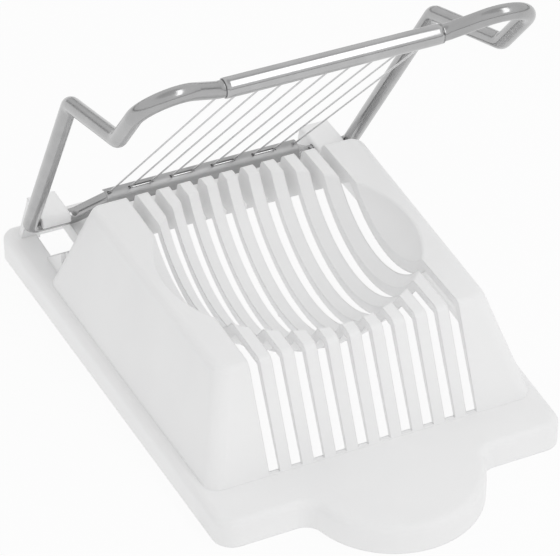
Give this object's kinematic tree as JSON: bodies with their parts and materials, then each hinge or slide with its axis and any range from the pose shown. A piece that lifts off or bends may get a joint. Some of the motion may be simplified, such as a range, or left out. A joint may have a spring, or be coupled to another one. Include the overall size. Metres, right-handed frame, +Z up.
{
  "type": "egg slicer",
  "caption": "Free-standing egg slicer: white moulded base with a slotted egg cup and a thumb tab, and a hinged bent-rod harp strung with parallel cutting wires.",
  "frame": {"origin": "middle of the footprint, on the table under the rim", "axes": "+Z up; +Y from the thumb tab at the front to the hinge at the rear; +X to the right seen from the tab"},
  "size_m": [0.0878, 0.1308, 0.0929],
  "materials": {
    "white_plastic": "satin moulded",
    "chromed_rod": "bright plated",
    "chromed_sleeve": "bright plated",
    "steel_comb": "folded sheet",
    "steel_wire": "drawn wire"
  },
  "bodies": {
    "base": {"base": "white_plastic"},
    "harp": {"bail_rod": "chromed_rod", "front_sleeve": "chromed_sleeve", "wire_comb": "steel_comb", "cutting_wire_01": "steel_wire", "cutting_wire_02": "steel_wire", "cutting_wire_03": "steel_wire", "cutting_wire_04": "steel_wire", "cutting_wire_05": "steel_wire", "cutting_wire_06": "steel_wire", "cutting_wire_07": "steel_wire", "cutting_wire_08": "steel_wire", "cutting_wire_09": "steel_wire", "cutting_wire_10": "steel_wire"}
  },
  "joints": [
    {"name": "harp_hinge", "type": "hinge", "parent": "base", "child": "harp", "pos_m": [0, 0.05458, 0.01269], "axis": [-1, 0, 0], "range_deg": [-48.17, 50]}
  ]
}
